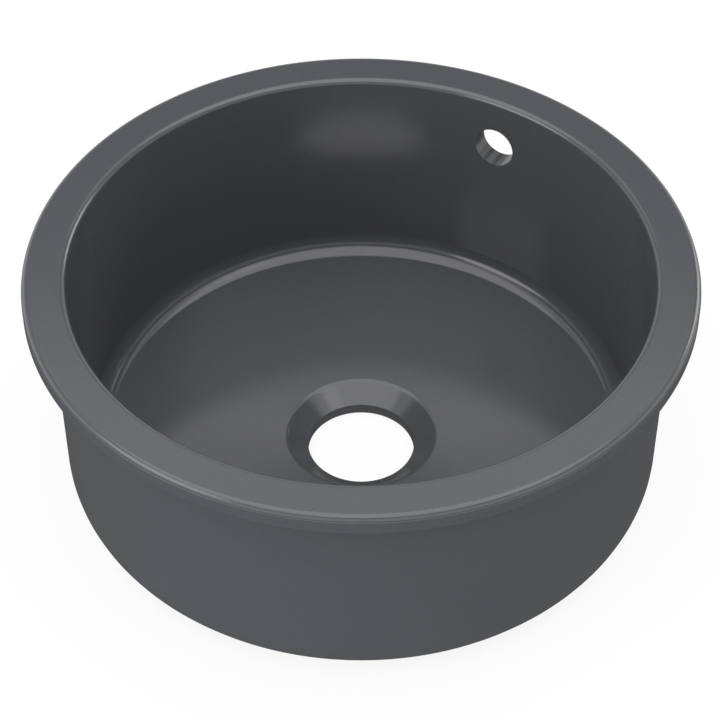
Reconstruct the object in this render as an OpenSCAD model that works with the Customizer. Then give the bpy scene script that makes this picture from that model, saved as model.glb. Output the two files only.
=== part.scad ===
// Round undermount kitchen sink: one moulded bowl with a conical waste recess,
// a round overflow hole and six swing-out fixing clips stowed under its rim.
// Lengths are in millimetres. Z is up, the origin is the centre of the flat base,
// and the overflow hole is at the back, on +Y.

/* [Bowl] */
// Inside diameter of the basin at its mouth
mouth_d = 470; // [330:5:640]
// Overall height, from the flat base to the top of the rim
bowl_h = 214; // [150:1:300]
// Thickness of the side wall at the top of the rim, from where it grows downwards
wall_t = 14.5; // [8:0.5:20]
// Draft of the side wall inside, in degrees
inner_draft = 3; // [0:0.1:5]
// Draft of the side wall outside, in degrees
outer_draft = 0.8; // [0:0.1:2]
// Radius of the cove between the side wall and the floor
cove_r = 19; // [8:1:40]
// Slope at which the cove rises from the floor, in degrees
cove_rise = 20; // [10:1:40]
// Easing of the edge between the floor and the cove
floor_edge_r = 2; // [0.5:0.5:4]
// Radius of the round between the side wall and the base
base_r = 36; // [10:1:50]

/* [Rim] */
// How far the rim reaches out past the side wall
rim_overhang = 20.5; // [18:0.5:40]
// Thickness of the rim
rim_t = 16.5; // [13:0.5:20]
// Rounding of the rim's upper outer edge
rim_edge_r = 6; // [2:0.5:9]
// Rounding of the basin's mouth
mouth_r = 5; // [2:0.5:10]
// Easing of the rim's lower outer edge
rim_under_r = 1; // [0.5:0.25:2]
// Fillet between the rim's underside and the side wall
rim_fillet_r = 4; // [1:0.5:6]

/* [Floor and waste] */
// Fall of the floor towards the waste, in degrees
floor_fall = 3.1; // [0:0.1:8]
// Diameter of the waste hole
waste_d = 90; // [60:1:100]
// Material left round the foot of the waste hole
waste_lip_t = 9.5; // [4:0.5:12]
// Diameter of the conical recess where its cone would meet the floor
recess_d = 125; // [110:1:160]
// Depth of the conical recess
recess_h = 12.5; // [6:0.5:18]
// Rounding of the edge between the recess and the floor
recess_edge_r = 8; // [1:0.5:12]

/* [Overflow] */
// Diameter of the overflow hole
overflow_d = 36; // [20:1:50]
// Depth of the overflow hole's centre below the top of the rim
overflow_drop = 47; // [45:0.5:80]

/* [Fixing clips] */
// Distance between the pivot and the far end of the clip's slot
clip_reach = 36; // [30:1:50]
// Width of the clip
clip_w = 12; // [10:0.5:14]
// Thickness of the clip's plate
clip_t = 2.5; // [1.5:0.25:4]
// Radius of the clip's corners
clip_corner_r = 4; // [1:0.5:4.5]
// Width of the slot for the stud that hangs from the worktop
slot_w = 6.5; // [5:0.5:7]
// Length of the slot between its end centres
slot_travel = 20; // [8:1:22]

/* [Fasteners] */
// Nominal diameter of the clip screw
screw_d = 5; // [4:1:6]
// Length of the clip screw under its head
screw_l = 12; // [10:1:13]
// Diameter of the screw's domed head
screw_head_d = 9.5; // [9:0.5:10]
// Height of the screw's domed head
screw_head_h = 2.75; // [2.5:0.25:4]
// Width across flats of the hexagon socket
socket_af = 3; // [2:0.5:4]
// Depth of the hexagon socket
socket_depth = 1.6; // [1:0.1:2]
// Outside diameter of the washer
washer_d = 10; // [9:0.5:12]
// Thickness of the washer
washer_t = 1; // [0.5:0.25:2]
// Outside diameter of the threaded insert
insert_d = 7.2; // [7:0.1:8]
// Length of the threaded insert
insert_l = 9; // [8.5:0.5:10]

/* [Hidden] */

// Segments of a full turn of the bowl, of a fastener and of a rounded corner
bowl_fn = 180;
small_fn = 48;
corner_fn = 96;

// Clearances and overruns
overrun = 2;
chord_overlap = 0.05;
clip_side_gap = 0.5;
pivot_gap = 0.25;
thread_gap = 0.05;
insert_gap = 0.03;
washer_gap = 0.15;
insert_pocket_extra = 1;

// Small features of the fasteners
groove_w = 0.8;
groove_depth = 0.4;
screw_point = 0.8;
head_brim = 0.5;

// The number of clips, and their spacing in degrees from +X
clip_count = 6;
clip_step = 360 / clip_count;

// Places that follow from the sizes above
inner_slope = tan(inner_draft);
outer_slope = tan(outer_draft);
inner_top_r = mouth_d / 2;
outer_top_r = inner_top_r + wall_t;
rim_r = outer_top_r + rim_overhang;
rim_under_z = bowl_h - rim_t;
recess_z = waste_lip_t + recess_h;
floor_slope = tan(floor_fall);
overflow_z = bowl_h - overflow_drop;

// The cove's arc ends on a short straight that rises from the floor's edge. Carried on
// along its rise, that straight meets the side wall at the cove's corner
floor_edge_run = floor_edge_r * tan((cove_rise - floor_fall) / 2);
cove_run = cove_r * tan((90 - inner_draft - cove_rise) / 2);
cove_reach = cove_run + 2 * floor_edge_run;
floor_r = (inner_top_r - bowl_h * inner_slope + (recess_z - floor_slope * recess_d / 2) * inner_slope
           - cove_reach * (cos(cove_rise) - inner_slope * sin(cove_rise)))
          / (1 - inner_slope * floor_slope);
floor_z = recess_z + (floor_r - recess_d / 2) * floor_slope;
corner_r = floor_r + cove_reach * cos(cove_rise);
corner_z = floor_z + cove_reach * sin(cove_rise);

// The clips' pivots: the stowed clip lies as a chord just clear of the wall fillet
clip_mid_r = outer_top_r + rim_fillet_r + clip_side_gap + clip_w / 2;
pivot_r = norm([clip_mid_r, clip_reach / 2]);
stow_tilt = atan2(clip_reach / 2, clip_mid_r);
clip_z = rim_under_z - clip_t;
washer_z = clip_z - washer_t;

// Corners of the bowl's half section as [radius, height, rounding], anticlockwise from
// the foot of the waste
bowl_section = [
    [waste_d / 2, 0, 0],
    [outer_top_r - bowl_h * outer_slope, 0, base_r],
    [outer_top_r - rim_t * outer_slope, rim_under_z, rim_fillet_r],
    [rim_r, rim_under_z, rim_under_r],
    [rim_r, bowl_h, rim_edge_r],
    [inner_top_r, bowl_h, mouth_r],
    [corner_r, corner_z, cove_r],
    [floor_r, floor_z, floor_edge_r],
    [recess_d / 2, recess_z, recess_edge_r],
    [waste_d / 2, waste_lip_t, 0]
];

function at(list, i) = list[(i + len(list)) % len(list)];
function xy(corner) = [corner[0], corner[1]];
function unit(v) = v / norm(v);
function turn(a, b) = a[0] * b[1] - a[1] * b[0];

// Directions from corner i to its neighbours, and the run of its rounding along each
function back_way(c, i) = unit(xy(at(c, i - 1)) - xy(c[i]));
function on_way(c, i) = unit(xy(at(c, i + 1)) - xy(c[i]));
function half_angle(c, i) = acos(back_way(c, i) * on_way(c, i)) / 2;
function round_run(c, i) = c[i][2] / tan(half_angle(c, i));
function round_start(c, i) = xy(c[i]) + back_way(c, i) * round_run(c, i);
function round_end(c, i) = xy(c[i]) + on_way(c, i) * round_run(c, i);
function round_centre(c, i) =
    xy(c[i]) + unit(back_way(c, i) + on_way(c, i)) * c[i][2] / sin(half_angle(c, i));
function winding(c) =
    sign([for (i = [0 : len(c) - 1]) turn(xy(c[i]), xy(at(c, i + 1)))] * [for (i = c) 1]);
function is_outward(c, i) = turn(-back_way(c, i), on_way(c, i)) * winding(c) > 0;

// An outline whose corners are true arcs: each rounded corner is first cut off by
// its chord, then the sliver between chord and arc is added, or taken away
module rounded_outline(corners) {
    last = len(corners) - 1;
    difference() {
        union() {
            polygon([for (i = [0 : last])
                each corners[i][2] > 0 ? [round_start(corners, i), round_end(corners, i)]
                                       : [xy(corners[i])]]);
            for (i = [0 : last]) {
                if (corners[i][2] > 0 && is_outward(corners, i)) arc_sliver(corners, i);
            }
        }
        for (i = [0 : last]) {
            if (corners[i][2] > 0 && !is_outward(corners, i)) arc_sliver(corners, i);
        }
    }
}

// What an arc holds beyond its corner's chord, and just over that chord
module arc_sliver(corners, i) {
    start = round_start(corners, i);
    end = round_end(corners, i);
    middle = (start + end) / 2;
    back = middle + unit(middle - xy(corners[i])) * chord_overlap;
    intersection() {
        translate(round_centre(corners, i)) circle(r = corners[i][2], $fn = corner_fn);
        polygon([start, 2 * xy(corners[i]) - middle, end, back]);
    }
}

// Places a child at the pivot of each clip, or of one clip
module at_pivot(i) {
    rotate([0, 0, i * clip_step]) translate([pivot_r, 0, 0]) children();
}

module at_pivots() {
    for (i = [0 : clip_count - 1]) at_pivot(i) children();
}

module bowl() {
    color("#4c4d50") difference() {
        rotate_extrude($fn = bowl_fn) rounded_outline(bowl_section);
        translate([0, corner_r - overrun, overflow_z]) rotate([-90, 0, 0])
            cylinder(h = rim_r - corner_r, d = overflow_d, $fn = small_fn);
        at_pivots() translate([0, 0, rim_under_z - overrun])
            cylinder(h = insert_l + insert_pocket_extra + overrun, d = insert_d + 2 * insert_gap,
                     $fn = small_fn);
    }
}

// Brass insert, with two grooves that key it in the moulding
module threaded_insert() {
    difference() {
        cylinder(h = insert_l, d = insert_d, $fn = small_fn);
        translate([0, 0, -overrun])
            cylinder(h = insert_l + 2 * overrun, d = screw_d + 2 * thread_gap, $fn = small_fn);
        for (share = [1 / 3, 2 / 3]) translate([0, 0, insert_l * share - groove_w / 2]) difference() {
            cylinder(h = groove_w, d = insert_d + overrun, $fn = small_fn);
            cylinder(h = groove_w, d = insert_d - 2 * groove_depth, $fn = small_fn);
        }
    }
}

module threaded_inserts() {
    color("#b8934a") at_pivots() translate([0, 0, rim_under_z]) threaded_insert();
}

// Button-head screw, drawn head down as it sits under the rim
module clip_screw() {
    shank_r = screw_d / 2;
    head_r = screw_head_d / 2;
    dome_h = screw_head_h - head_brim;
    dome_r = (head_r * head_r + dome_h * dome_h) / (2 * dome_h);
    difference() {
        union() {
            rotate_extrude($fn = small_fn) polygon([
                [0, 0], [shank_r, 0], [shank_r, screw_l - screw_point],
                [shank_r - screw_point, screw_l], [0, screw_l]]);
            translate([0, 0, -head_brim]) cylinder(h = head_brim, r = head_r, $fn = small_fn);
            rotate_extrude($fn = small_fn) intersection() {
                translate([0, dome_r - screw_head_h]) circle(r = dome_r, $fn = corner_fn);
                translate([0, -screw_head_h]) square([head_r, dome_h]);
            }
        }
        translate([0, 0, -screw_head_h - overrun])
            cylinder(h = socket_depth + overrun, d = socket_af / cos(30), $fn = 6);
    }
}

module clip_screws() {
    color("#b9bcc0") at_pivots() translate([0, 0, washer_z]) clip_screw();
}

module clip_washers() {
    color("#a9acb0") at_pivots() translate([0, 0, washer_z]) difference() {
        cylinder(h = washer_t, d = washer_d, $fn = small_fn);
        translate([0, 0, -overrun])
            cylinder(h = washer_t + 2 * overrun, d = screw_d + 2 * washer_gap, $fn = small_fn);
    }
}

// Flat strap with a pivot hole at one end and a slot for the worktop's stud at the other
module clip_plate() {
    half_w = clip_w / 2;
    plate = [
        [-half_w, -half_w, clip_corner_r],
        [clip_reach + half_w, -half_w, clip_corner_r],
        [clip_reach + half_w, half_w, clip_corner_r],
        [-half_w, half_w, clip_corner_r]
    ];
    difference() {
        linear_extrude(clip_t) rounded_outline(plate);
        translate([0, 0, -overrun])
            cylinder(h = clip_t + 2 * overrun, d = screw_d + 2 * pivot_gap, $fn = small_fn);
        for (x = [clip_reach - slot_travel, clip_reach]) translate([x, 0, -overrun])
            cylinder(h = clip_t + 2 * overrun, d = slot_w, $fn = small_fn);
        translate([clip_reach - slot_travel, -slot_w / 2, -overrun])
            cube([slot_travel, slot_w, clip_t + 2 * overrun]);
    }
}

// Clip i in its stowed place, turned in along the rim
module fixing_clip(i) {
    color("#c3c6ca") at_pivot(i) translate([0, 0, clip_z]) rotate([0, 0, 90 + stow_tilt]) clip_plate();
}

bowl();
threaded_inserts();
clip_screws();
clip_washers();
fixing_clip(0);  // fixing_clip_1
fixing_clip(1);  // fixing_clip_2
fixing_clip(2);  // fixing_clip_3
fixing_clip(3);  // fixing_clip_4
fixing_clip(4);  // fixing_clip_5
fixing_clip(5);  // fixing_clip_6
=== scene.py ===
# A round undermount kitchen sink, moulded in one piece from anthracite quartz composite,
# with its steel fixing clips folded away under the rim. Lengths are in metres.
import math

import bmesh
import bpy
import numpy as np
from mathutils import Matrix, Vector

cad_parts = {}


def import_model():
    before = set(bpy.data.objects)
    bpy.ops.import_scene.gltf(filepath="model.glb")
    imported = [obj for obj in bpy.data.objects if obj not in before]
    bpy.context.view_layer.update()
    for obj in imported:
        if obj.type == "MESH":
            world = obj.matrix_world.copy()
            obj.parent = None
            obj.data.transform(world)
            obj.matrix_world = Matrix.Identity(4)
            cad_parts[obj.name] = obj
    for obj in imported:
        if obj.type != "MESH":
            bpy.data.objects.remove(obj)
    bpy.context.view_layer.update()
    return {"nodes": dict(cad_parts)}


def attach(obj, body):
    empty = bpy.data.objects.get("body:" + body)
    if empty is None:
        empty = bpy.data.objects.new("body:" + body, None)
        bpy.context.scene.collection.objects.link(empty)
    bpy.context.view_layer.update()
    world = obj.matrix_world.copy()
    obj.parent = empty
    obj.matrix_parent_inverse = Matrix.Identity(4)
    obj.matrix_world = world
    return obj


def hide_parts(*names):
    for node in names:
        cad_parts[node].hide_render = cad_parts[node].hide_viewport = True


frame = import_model()
MM = 0.001

# The photograph's view, found from the outlines of the rim, the wall and the waste hole
VIEW_AZIMUTH = math.radians(29.64)
VIEW_ELEVATION = math.radians(44.634)
VIEW_DISTANCE = 2.1057
VIEW_TARGET = Vector((0, 0, 0.1084))
PICTURE_PX = 720
FOCAL_PX = 2553.65
CENTRE_RIGHT_PX = 1.16
SENSOR_WIDTH = 36


def linear(hex_colour):
    """Linear RGBA of an sRGB hex colour."""
    channels = [int(hex_colour[i : i + 2], 16) / 255 for i in (1, 3, 5)]
    return [c / 12.92 if c <= 0.04045 else ((c + 0.055) / 1.055) ** 2.4 for c in channels] + [1]


def node(tree, kind, settings=None, inputs=None, links=None):
    """Adds a node with its settings and input values, and links sockets of other nodes to its inputs."""
    new = tree.nodes.new(kind)
    for name, value in (settings or {}).items():
        setattr(new, name, value)
    for name, value in (inputs or {}).items():
        new.inputs[name].default_value = value
    for name, socket in (links or {}).items():
        tree.links.new(socket, new.inputs[name])
    return new


# Sockets of a mix node, for colours and for plain values
MIX_FACTOR, MIX_A, MIX_B, MIX_RESULT = 0, 6, 7, 2
MIX_VALUE_A, MIX_VALUE_B = 2, 3
# Bands that a wave texture of scale 1 has in each unit of length
WAVES_PER_UNIT = 20 / (2 * math.pi)

# The composite's darkest and lightest grains
COMPOSITE_DARK = "#494a4d"
COMPOSITE_LIGHT = "#4f5053"


def new_material(name):
    material = bpy.data.materials.new(name)
    material.use_nodes = True
    material.node_tree.nodes.clear()
    return material, material.node_tree


def per_mm(size):
    """Scale of a pattern whose features are this many millimetres across."""
    return 1 / (size * MM)


def moulded_quartz_composite():
    """Quartz sand in a resin dyed right through, cast against a polished mould. The eye sees one even dark
    grey, barely broken by its grains, under a smooth skin of resin whose sheen is soft and satin."""
    material, tree = new_material("moulded_quartz_composite")
    place = node(tree, "ShaderNodeTexCoord").outputs["Object"]
    # The sand's 0.2 mm grains are too fine to show, and are drawn at 0.6 mm
    sand = node(tree, "ShaderNodeTexVoronoi", inputs={"Scale": per_mm(0.6)}, links={"Vector": place})
    grain = node(tree, "ShaderNodeSeparateColor", links={"Color": sand.outputs["Color"]})
    # The dye drifts a little from one part of the casting to the next
    drift = node(tree, "ShaderNodeTexNoise", inputs={"Scale": per_mm(60), "Detail": 2},
                 links={"Vector": place})
    body = node(tree, "ShaderNodeMix", {"data_type": "RGBA"},
                {MIX_A: linear(COMPOSITE_DARK), MIX_B: linear(COMPOSITE_LIGHT)},
                {MIX_FACTOR: grain.outputs["Red"]})
    dyed = node(tree, "ShaderNodeMapRange", inputs={"To Min": 0.97, "To Max": 1.03},
                links={"Value": drift.outputs["Fac"]})
    colour = node(tree, "ShaderNodeVectorMath", {"operation": "SCALE"},
                  links={0: body.outputs[MIX_RESULT], "Scale": dyed.outputs["Result"]})
    # The skin over each grain takes its own slight polish, and as a whole it follows the mould's faint waves
    polish = node(tree, "ShaderNodeMapRange", inputs={"To Min": 0.14, "To Max": 0.16},
                  links={"Value": grain.outputs["Green"]})
    waves = node(tree, "ShaderNodeTexNoise", inputs={"Scale": per_mm(25), "Detail": 1},
                 links={"Vector": place})
    skin = node(tree, "ShaderNodeBump", inputs={"Strength": 1, "Distance": 0.02 * MM},
                links={"Height": waves.outputs["Fac"]})
    shader = node(tree, "ShaderNodeBsdfPrincipled", inputs={"IOR": 1.6},
                  links={"Base Color": colour.outputs[0], "Roughness": polish.outputs["Result"],
                         "Normal": skin.outputs["Normal"]})
    node(tree, "ShaderNodeOutputMaterial", links={"Surface": shader.outputs["BSDF"]})
    return material


def zinc_plated_steel():
    """Steel pressed from strip, tumbled and plated with bright zinc. The eye sees a cool silver that drifts
    between bluish and straw where the clear passivate is thicker, with a fine tumbled grain."""
    material, tree = new_material("zinc_plated_steel")
    place = node(tree, "ShaderNodeTexCoord").outputs["Object"]
    passivate = node(tree, "ShaderNodeTexNoise", inputs={"Scale": per_mm(7), "Detail": 3},
                     links={"Vector": place})
    film = node(tree, "ShaderNodeMapRange", inputs={"From Min": 0.35, "From Max": 0.65},
                links={"Value": passivate.outputs["Fac"]})
    colour = node(tree, "ShaderNodeMix", {"data_type": "RGBA"},
                  {MIX_A: linear("#b3b9c2"), MIX_B: linear("#c3c1b7")}, {MIX_FACTOR: film.outputs["Result"]})
    # Tumbling leaves dents of some 0.1 mm, drawn at 0.35 mm so that they show
    dents = node(tree, "ShaderNodeTexNoise", inputs={"Scale": per_mm(0.35), "Detail": 2},
                 links={"Vector": place})
    sheen = node(tree, "ShaderNodeMapRange",
                 inputs={"From Min": 0.3, "From Max": 0.7, "To Min": 0.26, "To Max": 0.42},
                 links={"Value": dents.outputs["Fac"]})
    hammered = node(tree, "ShaderNodeBump", inputs={"Strength": 0.5, "Distance": 0.02 * MM},
                    links={"Height": dents.outputs["Fac"]})
    shader = node(tree, "ShaderNodeBsdfPrincipled", inputs={"Metallic": 1},
                  links={"Base Color": colour.outputs[MIX_RESULT], "Roughness": sheen.outputs["Result"],
                         "Normal": hammered.outputs["Normal"]})
    node(tree, "ShaderNodeOutputMaterial", links={"Surface": shader.outputs["BSDF"]})
    return material


def turned_brass():
    """Free-cutting brass turned from bar. The eye sees a warm yellow, a little browned where it was handled,
    with the fine rings that the lathe tool leaves."""
    material, tree = new_material("turned_brass")
    place = node(tree, "ShaderNodeTexCoord").outputs["Object"]
    tarnish = node(tree, "ShaderNodeTexNoise", inputs={"Scale": per_mm(4), "Detail": 3},
                   links={"Vector": place})
    colour = node(tree, "ShaderNodeMix", {"data_type": "RGBA"},
                  {MIX_A: linear("#cda75e"), MIX_B: linear("#a98345")}, {MIX_FACTOR: tarnish.outputs["Fac"]})
    # The tool's rings lie 0.1 mm apart along the insert, drawn at 0.3 mm so that they show
    rings = node(tree, "ShaderNodeTexWave", {"bands_direction": "Z"}, {"Scale": per_mm(0.3) / WAVES_PER_UNIT},
                 {"Vector": place})
    sheen = node(tree, "ShaderNodeMapRange", inputs={"To Min": 0.22, "To Max": 0.36},
                 links={"Value": rings.outputs["Fac"]})
    turned = node(tree, "ShaderNodeBump", inputs={"Strength": 0.5, "Distance": 0.01 * MM},
                  links={"Height": rings.outputs["Fac"]})
    shader = node(tree, "ShaderNodeBsdfPrincipled", inputs={"Metallic": 1},
                  links={"Base Color": colour.outputs[MIX_RESULT], "Roughness": sheen.outputs["Result"],
                         "Normal": turned.outputs["Normal"]})
    node(tree, "ShaderNodeOutputMaterial", links={"Surface": shader.outputs["BSDF"]})
    return material


def give(obj, material):
    """Makes an object all of this one material."""
    obj.data.materials.clear()
    obj.data.materials.append(material)


# The bowl, in millimetres and degrees, with the values that its solid has
INNER_DRAFT = 3
OUTER_DRAFT = 0.8
FLOOR_FALL = 3.1
RIM_TOP = 214
RIM_THICKNESS = 16.5
RIM_OVERHANG = 20.5
RIM_UNDER_ROUND = 1
RIM_FILLET = 4
MOUTH_R = 235
MOUTH_ROUND = 5
WALL = 14.5
BASE_ROUND = 36
WASTE_R = 45
WASTE_LIP = 9.5
RECESS_R = 62.5
RECESS_DEPTH = 12.5
RECESS_ROUND = 8
COVE_ROUND = 19
COVE_RISE = 20
FLOOR_EDGE_ROUND = 2

# What follows from them: slopes, the cove's angle at its foot, heights and radii, and the floor's edge
INNER_SLOPE = math.tan(math.radians(INNER_DRAFT))
OUTER_SLOPE = math.tan(math.radians(OUTER_DRAFT))
FLOOR_SLOPE = math.tan(math.radians(FLOOR_FALL))
COVE_FOOT = math.radians(COVE_RISE)
RIM_UNDER = RIM_TOP - RIM_THICKNESS
OUTER_R = MOUTH_R + WALL
RIM_R = OUTER_R + RIM_OVERHANG
RECESS_TOP = WASTE_LIP + RECESS_DEPTH
COVE_REACH = (COVE_ROUND * math.tan((math.radians(90 - INNER_DRAFT) - COVE_FOOT) / 2)
              + 2 * FLOOR_EDGE_ROUND * math.tan((COVE_FOOT - math.radians(FLOOR_FALL)) / 2))
FLOOR_R = ((MOUTH_R - RIM_TOP * INNER_SLOPE + (RECESS_TOP - FLOOR_SLOPE * RECESS_R) * INNER_SLOPE
            - COVE_REACH * (math.cos(COVE_FOOT) - INNER_SLOPE * math.sin(COVE_FOOT)))
           / (1 - INNER_SLOPE * FLOOR_SLOPE))
FLOOR_Z = RECESS_TOP + (FLOOR_R - RECESS_R) * FLOOR_SLOPE

# The fine line round the rim where the two halves of the mould met. The rim's upper edge starts from it,
# and so has a slightly smaller round than the solid's.
WITNESS_LINE = 0.5
WITNESS_ROUND = 0.8 * WITNESS_LINE
WITNESS_Z = 209.2
RIM_EDGE_ROUND = 4.7

# The section's corners, each with its radius, its height and its rounding
SECTION = [
    (WASTE_R, 0, 0),
    (OUTER_R - RIM_TOP * OUTER_SLOPE, 0, BASE_ROUND),
    (OUTER_R - (RIM_TOP - RIM_UNDER) * OUTER_SLOPE, RIM_UNDER, RIM_FILLET),
    (RIM_R, RIM_UNDER, RIM_UNDER_ROUND),
    (RIM_R, WITNESS_Z, WITNESS_ROUND),
    (RIM_R - WITNESS_LINE, WITNESS_Z, 0),
    (RIM_R - WITNESS_LINE, RIM_TOP, RIM_EDGE_ROUND),
    (MOUTH_R, RIM_TOP, MOUTH_ROUND),
    (FLOOR_R + COVE_REACH * math.cos(COVE_FOOT), FLOOR_Z + COVE_REACH * math.sin(COVE_FOOT), COVE_ROUND),
    (FLOOR_R, FLOOR_Z, FLOOR_EDGE_ROUND),
    (RECESS_R, RECESS_TOP, RECESS_ROUND),
    (WASTE_R, WASTE_LIP, 0),
]

# The overflow hole, and the blind pockets of the inserts over the pivots of the six clips
OVERFLOW_R = 18
OVERFLOW_DROP = 47
OVERFLOW_Z = RIM_TOP - OVERFLOW_DROP
POCKET_R = 3.63
POCKET_DEPTH = 10
CLIP_GAP = 0.5
CLIP_HALF_WIDTH = 6
CLIP_HALF_REACH = 18
PIVOT_R = math.hypot(OUTER_R + RIM_FILLET + CLIP_GAP + CLIP_HALF_WIDTH, CLIP_HALF_REACH)
PIVOTS = [PIVOT_R * np.array([math.cos(k * math.pi / 3), math.sin(k * math.pi / 3)]) for k in range(6)]

# How finely the bowl is turned and its holes are cut
BOWL_TURNS = 288
ARC_STEP = math.radians(7.5)
ARC_LEAST_STEPS = 4
TUNNEL_SIDES = 128
POCKET_SIDES = 48
# The cutter of the overflow's tunnel: its length, and how far its middle lies inside the wall's face
TUNNEL_CUT = 60
TUNNEL_INSET = 10
# A hole's side faces along the hole's axis by less than this share, which tells it from what it opens in
TUNNEL_SIDE = 0.2
POCKET_SIDE = 0.5


def section_stretches():
    """The section as short straight stretches, each with its two ends and the true normals there."""
    corners = [np.array(corner[:2], float) for corner in SECTION]
    stretches = []
    for i, (corner, (_, _, rounding)) in enumerate(zip(corners, SECTION)):
        back = corners[i - 1] - corner
        on = corners[(i + 1) % len(corners)] - corner
        back, on = back / np.linalg.norm(back), on / np.linalg.norm(on)
        before, after = np.array([-back[1], back[0]]), np.array([on[1], -on[0]])
        if not rounding:
            points, normals = [corner], [before]
        else:
            half = math.acos(back @ on) / 2
            start = corner + back * rounding / math.tan(half)
            bulge = 1 if back[0] * on[1] - back[1] * on[0] < 0 else -1
            centre = start - before * rounding * bulge
            steps = max(ARC_LEAST_STEPS, round((math.pi - 2 * half) / ARC_STEP))
            first = math.atan2(before[1], before[0])
            sweep = (math.pi - 2 * half) * bulge / steps
            angles = [first + sweep * k for k in range(steps + 1)]
            normals = [np.array([math.cos(angle), math.sin(angle)]) for angle in angles]
            points = [centre + normal * rounding * bulge for normal in normals]
        if stretches:
            stretches[-1][1:] = [points[0], stretches[-1][2], before]
        stretches += [[p, q, n, m] for p, q, n, m in zip(points, points[1:], normals, normals[1:])]
        stretches.append([points[-1], None, after, None])
    stretches[-1][1:] = [stretches[0][0], stretches[-1][2], stretches[-1][2]]
    return stretches


def add_object(name, data):
    obj = bpy.data.objects.new(name, data)
    bpy.context.scene.collection.objects.link(obj)
    return obj


def cylinder_cutter(name, radius, length, sides, places):
    """Round cutters of one size at these places, as one object."""
    cutter = bmesh.new()
    for place in places:
        bmesh.ops.create_cone(cutter, cap_ends=True, segments=sides, radius1=radius, radius2=radius,
                              depth=length, matrix=place)
    data = bpy.data.meshes.new(name)
    cutter.to_mesh(data)
    cutter.free()
    return add_object(name, data)


def moulded_bowl():
    """The bowl with its own solid's section and holes, in steps fine enough for the light along its edges."""
    stretches = section_stretches()
    ring = np.array([stretch[0] for stretch in stretches])
    turns = np.arange(BOWL_TURNS) * 2 * math.pi / BOWL_TURNS
    around = np.stack([np.cos(turns), np.sin(turns)], axis=1)
    count = len(ring)
    verts = np.concatenate([
        ring[None, :, 0, None] * around[:, None, :],
        np.broadcast_to(ring[None, :, 1, None], (BOWL_TURNS, count, 1)),
    ], axis=2).reshape(-1, 3)
    faces = [(t * count + k, (t + 1) % BOWL_TURNS * count + k,
              (t + 1) % BOWL_TURNS * count + (k + 1) % count, t * count + (k + 1) % count)
             for t in range(BOWL_TURNS) for k in range(count)]
    data = bpy.data.meshes.new("moulded_bowl")
    data.from_pydata(verts.tolist(), [], faces)
    bowl = add_object("moulded_bowl", data)
    through_wall = (Matrix.Translation((0, OUTER_R - TUNNEL_INSET, OVERFLOW_Z))
                    @ Matrix.Rotation(math.pi / 2, 4, "X"))
    tunnel = cylinder_cutter("tunnel", OVERFLOW_R, TUNNEL_CUT, TUNNEL_SIDES, [through_wall])
    pockets = cylinder_cutter("pockets", POCKET_R, 2 * POCKET_DEPTH, POCKET_SIDES,
                              [Matrix.Translation((*pivot, RIM_UNDER)) for pivot in PIVOTS])
    for cutter in (tunnel, pockets):
        cut = bowl.modifiers.new(cutter.name, "BOOLEAN")
        cut.operation = "DIFFERENCE"
        cut.solver = "EXACT"
        cut.object = cutter
    bpy.context.view_layer.update()
    whole = bpy.data.meshes.new_from_object(bowl.evaluated_get(bpy.context.evaluated_depsgraph_get()))
    bowl.modifiers.clear()
    bowl.data = whole
    for cutter in (tunnel, pockets):
        bpy.data.objects.remove(cutter)
    set_true_normals(whole, stretches)
    whole.transform(Matrix.Scale(MM, 4))
    return bowl


def set_true_normals(data, stretches):
    """Shades each face as the turned surface or round hole that it stands for, so no facet shows."""
    starts, ends, first, last = (np.array([stretch[k] for stretch in stretches]) for k in range(4))
    span = ends - starts
    reach = (span * span).sum(axis=1)
    places = read(data.vertices, "co", 3)
    middles = read(data.polygons, "center", 3)
    facing = read(data.polygons, "normal", 3)
    face = np.repeat(np.arange(len(middles)), read(data.polygons, "loop_total", 1, int)[:, 0])
    place = places[read(data.loops, "vertex_index", 1, int)[:, 0]]

    # The turned surface, from the stretch of the section that is nearest to each face
    point = np.stack([np.hypot(middles[:, 0], middles[:, 1]), middles[:, 2]], axis=1)[:, None]
    share = np.clip(((point - starts) * span).sum(axis=2) / reach, 0, 1)
    near = np.linalg.norm(starts + span * share[..., None] - point, axis=2).argmin(axis=1)[face]
    radius = np.hypot(place[:, 0], place[:, 1])
    corner = np.stack([radius, place[:, 2]], axis=1)
    along = np.clip(((corner - starts[near]) * span[near]).sum(axis=1) / reach[near], 0, 1)[:, None]
    out, up = (first[near] * (1 - along) + last[near] * along).T
    normals = np.stack([out * place[:, 0] / radius, out * place[:, 1] / radius, up], axis=1)

    # The overflow's tunnel
    across = np.hypot(middles[:, 0], middles[:, 2] - OVERFLOW_Z)
    tunnel = ((middles[:, 1] > 0) & (across < OVERFLOW_R) & (abs(facing[:, 1]) < TUNNEL_SIDE))[face]
    normals[tunnel] = place[tunnel] * [-1, 0, -1] + [0, 0, OVERFLOW_Z]

    # The pockets of the inserts, their sides and their blind ends
    for pivot in PIVOTS:
        inside = np.hypot(*(middles[:, :2] - pivot).T) < POCKET_R
        side = (inside & (abs(facing[:, 2]) < POCKET_SIDE))[face]
        normals[side] = np.append(pivot, 0) - place[side] * [1, 1, 0]
        blind = (inside & (middles[:, 2] > RIM_UNDER) & (abs(facing[:, 2]) > POCKET_SIDE))[face]
        normals[blind] = facing[face[blind]]
    data.shade_smooth()
    data.normals_split_custom_set((normals / np.linalg.norm(normals, axis=1)[:, None]).tolist())


def read(items, name, width, kind=float):
    """One property of all of a mesh's items, as an array with a row for each."""
    values = np.empty(len(items) * width, kind)
    items.foreach_get(name, values)
    return values.reshape(-1, width)


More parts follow.
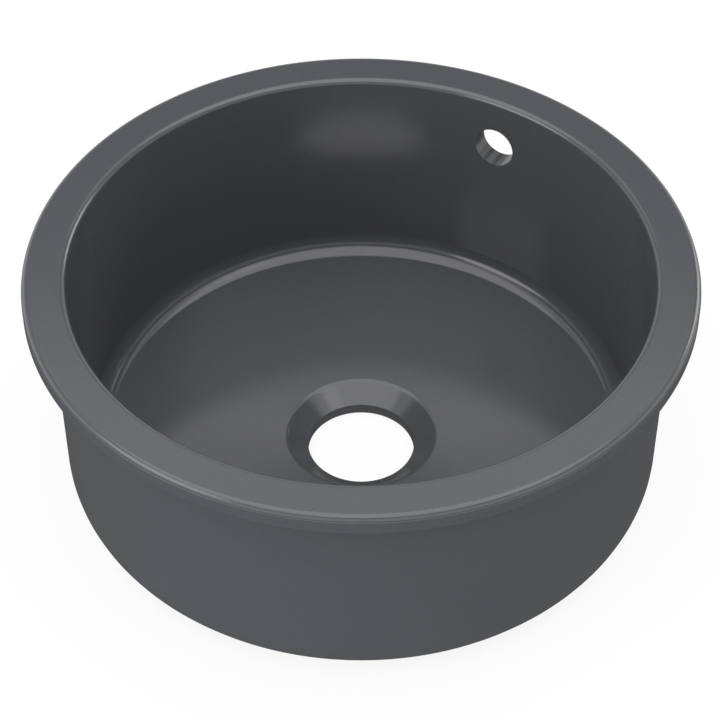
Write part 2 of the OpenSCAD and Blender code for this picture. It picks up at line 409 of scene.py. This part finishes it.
def camera():
    """The camera of the photograph's view, whose axis passes a little right of the picture's middle."""
    data = bpy.data.cameras.new("camera")
    data.sensor_width = SENSOR_WIDTH
    data.lens = FOCAL_PX / PICTURE_PX * SENSOR_WIDTH
    data.shift_x = -CENTRE_RIGHT_PX / PICTURE_PX
    obj = add_object("camera", data)
    flat = math.cos(VIEW_ELEVATION)
    way = Vector((-math.sin(VIEW_AZIMUTH) * flat, math.cos(VIEW_AZIMUTH) * flat, -math.sin(VIEW_ELEVATION)))
    obj.location = VIEW_TARGET - way * VIEW_DISTANCE
    obj.rotation_euler = way.to_track_quat("-Z", "Y").to_euler()
    bpy.context.scene.camera = obj


def from_view(azimuth, elevation):
    """Direction at an azimuth counted from the picture's right to its far side, as a unit vector."""
    turned = math.radians(azimuth) + VIEW_AZIMUTH
    flat = math.cos(math.radians(elevation))
    return Vector((math.cos(turned) * flat, math.sin(turned) * flat, math.sin(math.radians(elevation))))


# The softboxes: azimuth and elevation from the view, distance, width, and the radiance that each adds
SOFTBOXES = {
    "overhead_softbox": (-90, 85, 10, 15, 1.39),
    "far_right_softbox": (38, 20, 6, 2.8, 2.75),
    "near_left_softbox": (-150, 22, 6, 4.4, 2.51),
    "near_right_softbox": (-20, 55, 6, 2.6, 0.5),
}


def softbox(name, azimuth, elevation, distance, width, radiance):
    """Round soft lamp that faces the bowl and adds this radiance to the studio behind it."""
    data = bpy.data.lights.new(name, "AREA")
    data.shape = "DISK"
    data.size = width
    data.energy = radiance * math.pi * math.pi * width * width / 4
    obj = add_object(name, data)
    way = from_view(azimuth, elevation)
    obj.location = way * distance
    obj.rotation_euler = way.to_track_quat("Z", "Y").to_euler()


# The pale floor: half its width, how far it lies under the base, and how much of it is seen as plain white
FLOOR_HALF = 6
FLOOR_GAP = 0.5 * MM
FLOOR_WHITENESS = 0.88
# How bright it looks mirrored, as a glow painted for glossy rays. Under the waste hole that goes by how far
# away
# what mirrors it is: painted shade on the hole's own lip, and a painted bright reflection on the far wall.
# Beyond, it goes by the distance from the bowl's axis: painted shade dim round the bowl, and white far from
# it.
UNDER_WASTE = (0.05, 0.06)
LIP_TO_WALL = (0.05, 0.15)
MIRRORED_AT_LIP, MIRRORED_AT_WALL = 0.05, 0.8
ROUND_TO_FAR = (0.45, 0.9)
MIRRORED_ROUND, MIRRORED_FAR = 0.08, 1


def floor():
    """A pale floor that the camera sees almost white under the bowl's shadow, and only from above. Its glow
    in the bowl's reflections is painted.
    """
    data = bpy.data.meshes.new("floor")
    corners = [(-1, -1), (1, -1), (1, 1), (-1, 1)]
    data.from_pydata([(x * FLOOR_HALF, y * FLOOR_HALF, 0) for x, y in corners], [], [(0, 1, 2, 3)])
    obj = add_object("floor", data)
    obj.location.z = -FLOOR_GAP
    # The light that a pale floor throws back up comes evenly from the studio below it
    obj.visible_diffuse = False
    obj.visible_shadow = False
    material, tree = new_material("pale_floor")
    matt = node(tree, "ShaderNodeBsdfDiffuse", inputs={"Color": linear("#fafafa")})
    ray = node(tree, "ShaderNodeLightPath")
    seen = node(tree, "ShaderNodeMath", {"operation": "MAXIMUM"},
                links={0: ray.outputs["Is Camera Ray"], 1: ray.outputs["Is Transmission Ray"]})
    place = node(tree, "ShaderNodeNewGeometry")
    away = node(tree, "ShaderNodeVectorMath", {"operation": "LENGTH"}, links={0: place.outputs["Position"]})
    under = node(tree, "ShaderNodeMapRange",
                 inputs={"From Min": LIP_TO_WALL[0], "From Max": LIP_TO_WALL[1],
                         "To Min": MIRRORED_AT_LIP, "To Max": MIRRORED_AT_WALL},
                 links={"Value": ray.outputs["Ray Length"]})
    beyond = node(tree, "ShaderNodeMapRange",
                  inputs={"From Min": ROUND_TO_FAR[0], "From Max": ROUND_TO_FAR[1],
                          "To Min": MIRRORED_ROUND, "To Max": MIRRORED_FAR},
                  links={"Value": away.outputs["Value"]})
    # Painted reflection and painted shade: the floor's glow for glossy rays, dark near the bowl and on the
    # waste hole's lip, bright where the far wall mirrors it
    painted_mirror_glow = node(tree, "ShaderNodeMapRange", {"interpolation_type": "SMOOTHSTEP"},
                 {"From Min": UNDER_WASTE[0], "From Max": UNDER_WASTE[1]},
                 {"Value": away.outputs["Value"], "To Min": under.outputs["Result"],
                  "To Max": beyond.outputs["Result"]})
    glow = node(tree, "ShaderNodeMath", {"operation": "MAXIMUM"},
                links={0: seen.outputs[0], 1: painted_mirror_glow.outputs[0]})
    white = node(tree, "ShaderNodeEmission", inputs={"Color": linear("#ffffff")},
                 links={"Strength": glow.outputs[0]})
    share = node(tree, "ShaderNodeMath", {"operation": "MULTIPLY_ADD"}, {1: FLOOR_WHITENESS},
                 {0: seen.outputs[0], 2: ray.outputs["Is Glossy Ray"]})
    above = node(tree, "ShaderNodeMixShader",
                 links={0: share.outputs[0], 1: matt.outputs[0], 2: white.outputs[0]})
    # From below the floor isn't seen, so the bowl's underside is
    clear = node(tree, "ShaderNodeBsdfTransparent")
    one_sided = node(tree, "ShaderNodeMixShader",
                     links={0: place.outputs["Backfacing"], 1: above.outputs[0], 2: clear.outputs[0]})
    node(tree, "ShaderNodeOutputMaterial", links={"Surface": one_sided.outputs[0]})
    give(obj, material)


# The studio from floor to ceiling: how bright it is at each elevation, as shares of the brightest
STUDIO_BRIGHTEST = 1.3
STUDIO_LEVELS = [
    (-90, 1), (0, 1), (10, 0.7), (16, 0.5), (32, 0.5), (37, 0.05), (42.5, 0.05), (45, 1), (52, 0.5),
]


def world():
    """A soft graded studio that the camera itself sees as plain white."""
    scene_world = bpy.data.worlds.new("studio")
    bpy.context.scene.world = scene_world
    scene_world.use_nodes = True
    tree = scene_world.node_tree
    tree.nodes.clear()
    way = node(tree, "ShaderNodeTexCoord")
    height = node(tree, "ShaderNodeSeparateXYZ", links={0: way.outputs["Generated"]})
    upward = node(tree, "ShaderNodeMapRange", inputs={"From Min": -1}, links={"Value": height.outputs["Z"]})
    levels = node(tree, "ShaderNodeValToRGB", links={0: upward.outputs["Result"]})
    steps = levels.color_ramp.elements
    while len(steps) < len(STUDIO_LEVELS):
        steps.new(1)
    for step, (elevation, level) in zip(steps, STUDIO_LEVELS):
        step.position = (math.sin(math.radians(elevation)) + 1) / 2
        step.color = (level, level, level, 1)
    lit = node(tree, "ShaderNodeMath", {"operation": "MULTIPLY"}, {1: STUDIO_BRIGHTEST},
               {0: levels.outputs["Color"]})
    ray = node(tree, "ShaderNodeLightPath")
    seen = node(tree, "ShaderNodeMath", {"operation": "MAXIMUM"},
                links={0: ray.outputs["Is Camera Ray"], 1: ray.outputs["Is Transmission Ray"]})
    strength = node(tree, "ShaderNodeMix", inputs={MIX_VALUE_B: 1},
                    links={MIX_FACTOR: seen.outputs[0], MIX_VALUE_A: lit.outputs[0]})
    white = node(tree, "ShaderNodeBackground", inputs={"Color": linear("#ffffff")},
                 links={"Strength": strength.outputs[0]})
    node(tree, "ShaderNodeOutputWorld", links={"Surface": white.outputs[0]})


composite = moulded_quartz_composite()
steel = zinc_plated_steel()
brass = turned_brass()
for name, obj in frame["nodes"].items():
    give(obj, composite if name == "bowl" else brass if name == "threaded_inserts" else steel)
bowl = moulded_bowl()
give(bowl, composite)
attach(bowl, "sink")
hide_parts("bowl")

camera()
for name, settings in SOFTBOXES.items():
    softbox(name, *settings)
floor()
world()
bpy.context.scene.view_settings.view_transform = "Standard"
